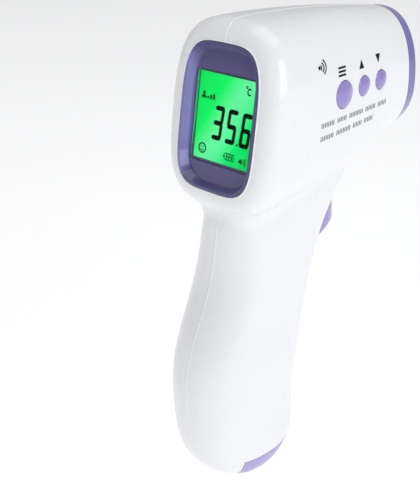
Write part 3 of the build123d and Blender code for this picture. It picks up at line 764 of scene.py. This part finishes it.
FINISHES = {
    case_white: ["right_shell", "left_shell"],
    bezel_plastic("bezel_purple"): ["display_bezel"],
    clear_plate("clear_window"): ["display_window"],
    lit_glass("lcd_lit"): ["lcd_panel"],
    satin("light_guide", srgb(235, 250, 240)): ["lcd_backlight"],
    satin("dark_rubber", srgb(28, 28, 30), rough=0.7): ["lcd_connector"],
    green_board: ["display_board", "main_board", "sensor_board", "trigger_board"],
    steel: ["display_screws", "board_screws", "case_screws"],
    wire_cover("ribbon_grey", srgb(150, 152, 156)): ["display_ribbon"],
    black: ["board_chips", "buzzer", "set_plunger", "up_plunger", "down_plunger",
            "trigger_plunger"],
    switch_metal: ["set_switch", "up_switch", "down_switch", "trigger_switch"],
    moulded("trim_purple", PURPLE, rough=0.2, coat=0.5): ["nose_ring"],
    satin("cone_white", srgb(222, 223, 226), rough=0.4): ["sensor_cone"],
    brass: ["sensor_holder"],
    metal("sensor_cap", srgb(214, 214, 216), rough=0.15): ["sensor_can"],
    metal("sensor_glass", srgb(86, 84, 100), rough=0.06, mark=2e-7): ["sensor_lens"],
    wire_cover("wire_grey", srgb(120, 120, 124)): ["sensor_wires"],
    spring_steel: ["trigger_pin", "trigger_spring", "door_pin"],
    satin("cradle_plastic", srgb(60, 60, 64)): ["battery_cradle"],
    cell_jacket("cell_jacket"): ["right_cell", "left_cell"],
    nickel: ["positive_contact", "negative_contact", "bridge_contact"],
    wire_cover("wire_red", srgb(190, 24, 22)): ["red_wire"],
    wire_cover("wire_black", srgb(24, 24, 26)): ["black_wire"],
    moulded("trim_lavender", LAVENDER, rough=0.24): ["trigger"],
    moulded("door_lavender", PALE_LAVENDER, rough=0.24): ["battery_door"],
    moulded("button_lavender", BUTTON, rough=0.14, coat=0.8, peel=3e-6):
        ["set_button", "up_button", "down_button"],
}
for finish_material, names in FINISHES.items():
    for node_name in names:
        slots = nodes[node_name].material_slots
        if not slots:
            nodes[node_name].data.materials.append(finish_material)
        for material_slot in nodes[node_name].material_slots:
            material_slot.material = finish_material

# Large faces decide the shading, so thin triangles of the mesh don't glint
for shell_name in ("right_shell", "left_shell", "battery_door"):
    weighted = nodes[shell_name].modifiers.new("even_shading", "WEIGHTED_NORMAL")
    weighted.mode = "FACE_AREA"
    weighted.weight = 90
    weighted.keep_sharp = True

segment_ink = printed("segment_ink", srgb(2, 14, 6))
mark_ink = printed("mark_ink", srgb(3, 40, 18))
case_ink = printed("case_ink", srgb(24, 24, 28))
case_soft_ink = printed("case_soft_ink", srgb(74, 76, 84))

# ---------------------------------------------------------------- new pieces
build_display_picture(segment_ink, mark_ink)
build_case_print(case_ink, case_soft_ink)
bead("case_seam", chains_of(seam_edges()), SEAM_RADIUS, "body", case_white)
build_trigger_spring(spring_steel)
build_trigger_pad(nodes["trigger"].data.materials[0])
bead("bezel_lip", [bezel_ring(LIP_GROW, LIP_LIFT)], LIP_RADIUS, "body",
     case_white, closed=True)

# ---------------------------------------------------------------- floor, light and camera
FLOOR_DROP = 0.045                   # room for the open battery door below the handle
VIEW_AZIMUTH = math.radians(45.16)
VIEW_ELEVATION = math.radians(22.12)
VIEW_ROLL = math.radians(0.68)
VIEW_DISTANCE = 0.3201
AIM_RIGHT = -0.0244                  # the object stands right of the picture's middle
AIM_UP = -0.0017
LENS = 74.49
FLOOR_HALF = 3.5
FLOOR_GLOW = 0.36
WORLD_COLOUR = (0.98, 0.985, 1.0, 1)
WORLD_STRENGTH = 0.46


def build_floor():
    """A large pale sheet, gently mottled, below the object."""
    data = bmesh.new()
    bmesh.ops.create_grid(data, x_segments=24, y_segments=24, size=FLOOR_HALF)
    for vert in data.verts:
        vert.co.z = cad_low.z - FLOOR_DROP
    mesh = bpy.data.meshes.new("studio_floor")
    data.to_mesh(mesh)
    data.free()
    finish = Finish("floor_paper", Roughness=0.85, Specular_IOR_Level=0.1,
                    Emission_Color=(1, 1, 1, 1), Emission_Strength=FLOOR_GLOW)
    finish.colour(finish.ramp(finish.noise(0.3), (0.3, (0.90, 0.905, 0.91, 1)),
                              (0.7, (0.93, 0.93, 0.935, 1))))
    mesh.materials.append(finish.material)
    floor = bpy.data.objects.new("studio_floor", mesh)
    bpy.context.scene.collection.objects.link(floor)


def softbox(name, place, target, size, power):
    """A square area light aimed at a point."""
    data = bpy.data.lights.new(name, "AREA")
    data.shape = "RECTANGLE"
    data.size = data.size_y = size
    data.energy = power
    light = bpy.data.objects.new(name, data)
    light.location = place
    light.rotation_mode = "QUATERNION"
    light.rotation_quaternion = (Vector(target) - Vector(place)).to_track_quat("-Z", "Y")
    bpy.context.scene.collection.objects.link(light)


def build_lights(middle):
    softbox("key", place=(1.28, -0.30, 0.45), target=middle, size=0.9, power=5.8)
    softbox("top", place=(0.0, -0.05, 0.8), target=middle, size=0.8, power=2.2)
    world = bpy.data.worlds.new("studio")
    world.use_nodes = True
    background = world.node_tree.nodes["Background"]
    background.inputs["Color"].default_value = WORLD_COLOUR
    background.inputs["Strength"].default_value = WORLD_STRENGTH
    bpy.context.scene.world = world
    bpy.context.scene.view_settings.view_transform = "Standard"


def build_camera(middle):
    back = Vector((math.sin(VIEW_AZIMUTH) * math.cos(VIEW_ELEVATION),
                   -math.cos(VIEW_AZIMUTH) * math.cos(VIEW_ELEVATION),
                   math.sin(VIEW_ELEVATION)))
    turn = Quaternion(back, VIEW_ROLL) @ (-back).to_track_quat("-Z", "Y")
    data = bpy.data.cameras.new("camera")
    data.lens = LENS
    data.sensor_width = 36
    data.clip_start = 0.01
    camera = bpy.data.objects.new("camera", data)
    camera.rotation_mode = "QUATERNION"
    camera.rotation_quaternion = turn
    right, up = turn @ Vector((1, 0, 0)), turn @ Vector((0, 1, 0))
    camera.location = middle + right * AIM_RIGHT + up * AIM_UP + back * VIEW_DISTANCE
    bpy.context.scene.collection.objects.link(camera)
    bpy.context.scene.camera = camera


object_middle = (cad_low + cad_high) / 2
build_floor()
build_lights(object_middle)
build_camera(object_middle)
